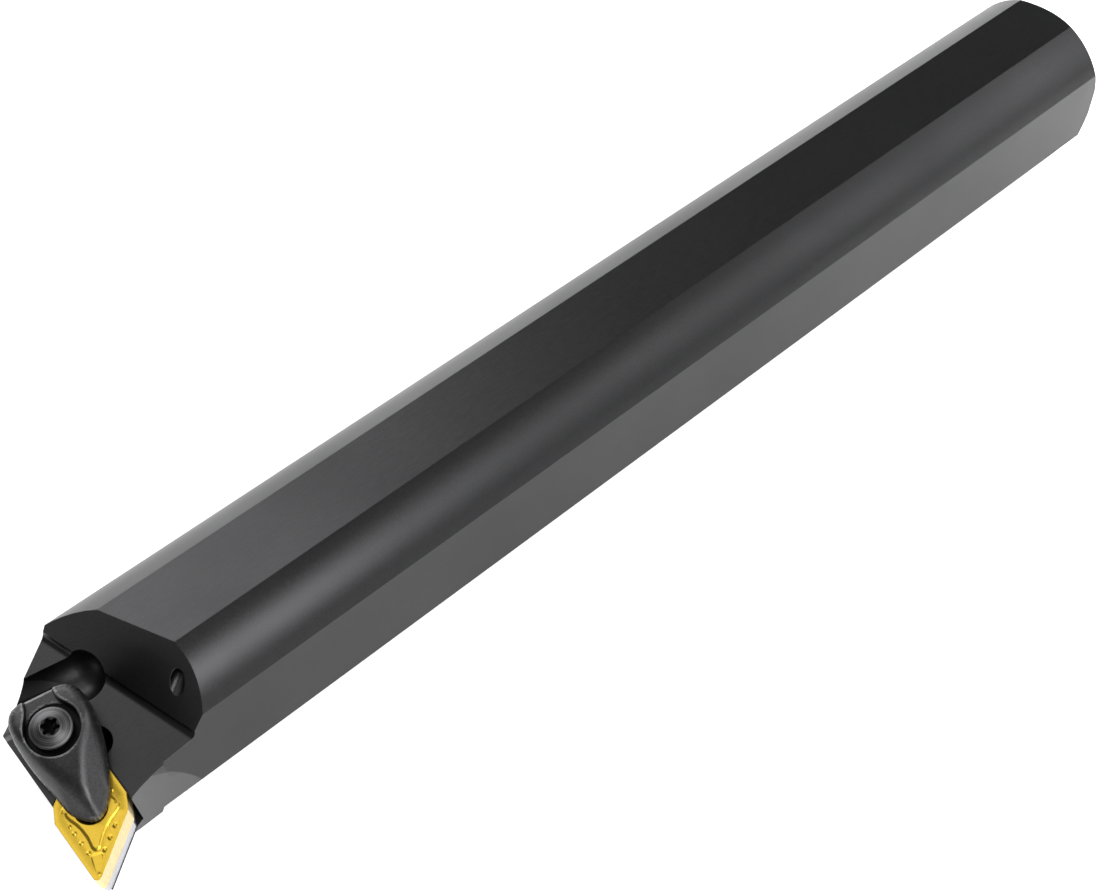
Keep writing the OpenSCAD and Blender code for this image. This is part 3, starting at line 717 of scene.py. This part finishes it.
def makeScrew(s):
    turn = np.linspace(0, 2 * math.pi, s["columns"], endpoint=False)
    lobes = 0.5 + 0.5 * np.cos(6 * turn)
    star = s["socketInner"] + (s["socketOuter"] - s["socketInner"]) * smoothStep(0.1, 0.95, lobes)

    def ring(radius, z):  # the radius is a number, or one for each point of the ring
        return np.column_stack([radius * np.cos(turn), radius * np.sin(turn), z * np.ones_like(turn)])

    tip, neck, core, head = s["tip"], s["neckRadius"], s["coreRadius"], s["headRadius"]
    floor, rim, chamfer = s["headFloor"], s["rimTop"], s["rimChamfer"]
    rings = [ring(s["pole"], tip), ring(core - s["tipChamfer"], tip), ring(core, tip + s["tipChamfer"]),
             ring(core, s["neckEnd"] - s["neckTaper"]), ring(neck, s["neckEnd"]), ring(neck, floor),
             ring(head - chamfer, floor), ring(head, floor + chamfer)]
    rings += [ring(head, z) for z in np.linspace(s["rimFrom"], rim - chamfer, s["rimRows"])]
    rings += [ring(head - inward, rim - down) for inward, down in s["rimLip"]]
    coneOuter = head - s["rimLip"][-1][0]
    for share in np.linspace(0.04, 1, s["coneRows"]):
        r = coneOuter + (s["coneInner"] - coneOuter) * share
        z = rim + (s["coneTop"] - rim) * share
        rings.append(ring(r, z - s["ringDepth"] * (1 + math.cos(2 * math.pi * r / s["ringPitch"]))))
    rings += [ring(radius, z) for radius, z in s["socketLip"]]
    rings += [ring(star * size, z) for size, z in s["socketWall"]]
    rows, columns = len(rings), s["columns"]
    faces = gridFaces(rows, columns)
    faces.append(list(range(columns))[::-1])
    faces.append(list(range((rows - 1) * columns, rows * columns)))
    # the clamp frame is left-handed, so the rings are turned the other way round
    points = np.concatenate(rings, 0) * [1, -1, 1] + [screwReach, 0, 0]
    return meshPiece("clamp_screw_turned", fromClamp(points), faces, screwSteel, 32)


screw = makeScrew(screwShape)


# Geometry nodes for thread ridges and the spring: a wire or a ridge swept along a spiral
def helixTree():
    tree = bpy.data.node_groups.new("helix", "GeometryNodeTree")
    tree.interface.new_socket("Geometry", in_out="OUTPUT", socket_type="NodeSocketGeometry")
    sockets = {"Float": ("Radius", "Turns", "Height", "Section Radius", "Section Turn"),
               "Int": ("Section Points", "Steps"), "Material": ("Material",)}
    for kind, names in sockets.items():
        for name in names:
            tree.interface.new_socket(name, in_out="INPUT", socket_type="NodeSocket" + kind)
    node = partial(addNode, tree)
    sizes = node("NodeGroupInput").node.outputs
    spiral = node("GeometryNodeCurveSpiral", {
        "Resolution": sizes["Steps"], "Rotations": sizes["Turns"], "Start Radius": sizes["Radius"],
        "End Radius": sizes["Radius"], "Height": sizes["Height"]})
    upright = node("GeometryNodeSetCurveNormal", {"Curve": spiral}, mode="Z_UP")
    section = node("GeometryNodeCurvePrimitiveCircle", {
        "Resolution": sizes["Section Points"], "Radius": sizes["Section Radius"]})
    turnAxes = node("ShaderNodeCombineXYZ", {"Z": sizes["Section Turn"]})
    turned = node("GeometryNodeTransform", {"Geometry": section, "Rotation": turnAxes})
    swept = node("GeometryNodeCurveToMesh", {"Curve": upright, "Profile Curve": turned, "Fill Caps": True})
    solid = node("GeometryNodeRealizeInstances", {0: swept})
    painted = node("GeometryNodeSetMaterial", {"Geometry": solid, "Material": sizes["Material"]})
    node("NodeGroupOutput", {0: painted})
    return tree


helix = helixTree()


def helixPiece(name, settings, place, sharpAngle):
    holder = addObject(name + "_maker", bpy.data.meshes.new(name + "_maker"))
    modifier = holder.modifiers.new("helix", "NODES")
    modifier.node_group = helix
    for item in helix.interface.items_tree:
        if item.in_out == "INPUT":
            modifier[item.identifier] = settings[item.name]
    evaluated = holder.evaluated_get(bpy.context.evaluated_depsgraph_get())
    mesh = bpy.data.meshes.new_from_object(evaluated)
    mesh.name = name
    mesh.transform(place)
    mesh.shade_smooth()
    mesh.set_sharp_from_angle(angle=math.radians(sharpAngle))
    holder.modifiers.remove(modifier)
    bpy.data.objects.remove(holder)
    return addObject(name, mesh)


def screwPlace(z):  # matrix of the clamp screw's axis at a height, in metres
    uWay = np.append(clampU, 0) @ seatAxes
    return placeMatrix(uWay, np.cross(seatAxes[2], uWay), seatAxes[2], onScrewAxis(z) * mm)


def makeScrewThread(s):
    length = s["neckEnd"] - s["neckTaper"] - s["tip"] - s["threadShort"]
    return helixPiece("clamp_screw_thread", {
        "Radius": s["crestRadius"] * mm, "Turns": length / s["pitch"], "Height": length * mm,
        "Section Radius": s["ridge"] * mm, "Section Points": 3, "Section Turn": 0.0, "Steps": 40,
        "Material": screwSteel,
    }, screwPlace(s["tip"] + s["threadStart"]), 30)


springShape = {"wire": 0.6, "radius": 3.2, "turns": 3.5, "low": -0.2, "high": 4.0}


def makeSpring(s):
    return helixPiece("clamp_spring_coil", {
        "Radius": s["radius"] * mm, "Turns": s["turns"], "Height": (s["high"] - s["low"] - s["wire"]) * mm,
        "Section Radius": s["wire"] / 2 * mm, "Section Points": 16, "Section Turn": 0.0, "Steps": 48,
        "Material": springSteel,
    }, screwPlace(s["low"] + s["wire"] / 2), 60)


# a pipe thread of 19 ridges to the inch
inletShape = {"ridgeRadius": 6.08, "ridge": 0.70, "pitch": 1.337, "depth": 13.4, "start": 0.9}


def makeInletThread(s):
    place = Matrix.Translation((s["start"] * mm, 0, 0)) @ Matrix.Rotation(math.pi / 2, 4, "Y")
    return helixPiece("coolant_inlet_thread", {
        "Radius": s["ridgeRadius"] * mm, "Turns": s["depth"] / s["pitch"], "Height": s["depth"] * mm,
        "Section Radius": s["ridge"] * mm, "Section Points": 3, "Section Turn": math.pi, "Steps": 72,
        "Material": barSteel,
    }, place, 30)


screwThread = makeScrewThread(screwShape)
spring = makeSpring(springShape)
inletThread = makeInletThread(inletShape)
print("screw, spring and threads made")

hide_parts("insert")
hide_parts("clamp")
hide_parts("clamp_screw")
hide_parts("clamp_spring")
for piece, body, slotName in ((insert, "bar", "insert_coating"), (clamp, "clamp", "clamp_steel"),
                              (screw, "screw", "screw_steel"), (screwThread, "screw", "screw_steel"),
                              (inletThread, "bar", "body_steel")):
    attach(piece, body)
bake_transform(spring)


studio = {
    "floorLevel": -0.0185, "floorHalf": 4.0, "floorCells": 8,   # metres
    "paper": ("#f2f2f2", "#f6f6f6"), "pulpMm": 60.0, "floorGlow": 0.82,
    "world": "#cacaca", "worldStrength": 0.26,
    # name: place, aim, width, height in metres, power in watts, spread in degrees
    "lights": {
        "rear_softbox": ((0.20, -0.75, 0.95), (0.22, 0.0, 0.0), 0.9, 0.6, 6.0, 180),
        "right_softbox": ((0.16, 0.84, 0.66), (0.22, 0.0, 0.0), 0.5, 0.5, 5.2, 180),
        "far_right_softbox": ((-0.85, 0.62, 0.66), (0.05, 0.0, 0.0), 0.9, 0.8, 4.6, 180),
        "top_softbox": ((0.35, -0.05, 1.2), (0.2, 0.0, 0.0), 0.5, 0.5, 1.2, 180),
        "left_low_panel": ((-0.15, -0.95, 0.11), (0.0, 0.0, 0.0), 1.7, 0.26, 5.0, 180),
        "right_floor_wash": ((-0.24, 0.24, 0.55), (-0.24, 0.241, 0.0), 0.25, 0.4, 1.9, 60),
    },
}
photoView = {
    "at": (0.3274, 0.1727, 0.2655), "way": (-0.4336, -0.4750, -0.7657), "up": (-0.5208, -0.5614, 0.6432),
    "sensorMm": 36.0, "lensMm": 54.46, "clipStart": 0.01,
}


# Matt paper lit from behind as well: white with a barely seen pulp mottle
def paperBackdrop(s):
    material, node, place = newMaterial("paper_backdrop_matt")
    pulp = node("ShaderNodeTexNoise", {"Vector": place, "Scale": 1 / s["pulpMm"], "Detail": 2.0}, out="Fac")
    share = node("ShaderNodeMapRange", {0: pulp, 1: 0.3, 2: 0.7, 3: 0.0, 4: 1.0})
    tone = node("ShaderNodeMix", {0: share, 6: linear(s["paper"][0]), 7: linear(s["paper"][1])},
                out=2, data_type="RGBA")
    skin = node("ShaderNodeBsdfPrincipled", {
        "Base Color": tone, "Emission Color": tone, "Emission Strength": s["floorGlow"], "Roughness": 0.9,
        "Specular IOR Level": 0.1})
    node("ShaderNodeOutputMaterial", {"Surface": skin})
    return material


def lookMatrix(at, way, up):  # for a lamp or a camera, which looks along its own -z
    forward = np.array(way) / np.linalg.norm(way)
    right = np.cross(forward, up)
    right /= np.linalg.norm(right)
    return placeMatrix(right, np.cross(right, forward), -forward, at)


def makeStudio(s):
    mesh = bpy.data.meshes.new("studio_floor")
    count = s["floorCells"] + 1
    steps = np.linspace(-s["floorHalf"], s["floorHalf"], count)
    corners = [j * count + i for j in range(count - 1) for i in range(count - 1)]
    mesh.from_pydata([(x, y, s["floorLevel"]) for y in steps for x in steps], [],
                     [(c, c + 1, c + count + 1, c + count) for c in corners])
    mesh.materials.append(paperBackdrop(s))
    floor = addObject("studio_floor", mesh)
    world = bpy.data.worlds.new("studio_world")
    world.use_nodes = True
    background = world.node_tree.nodes["Background"]
    background.inputs[0].default_value = linear(s["world"])
    background.inputs[1].default_value = s["worldStrength"]
    bpy.context.scene.world = world
    for name, (at, aim, width, height, power, spread) in s["lights"].items():
        lamp = bpy.data.lights.new(name, "AREA")
        lamp.shape, lamp.size, lamp.size_y, lamp.energy = "RECTANGLE", width, height, power
        lamp.spread = math.radians(spread)
        addObject(name, lamp).matrix_world = lookMatrix(at, np.array(aim) - np.array(at), (0, 0, 1))


def makeCamera(s):
    lens = bpy.data.cameras.new("photo_view")
    lens.sensor_fit, lens.sensor_width, lens.lens = "HORIZONTAL", s["sensorMm"], s["lensMm"]
    lens.clip_start = s["clipStart"]
    camera = addObject("photo_view", lens)
    camera.matrix_world = lookMatrix(s["at"], s["way"], s["up"])
    bpy.context.scene.camera = camera


makeStudio(studio)
makeCamera(photoView)
bpy.context.scene.view_settings.view_transform = "Standard"
print("studio made")
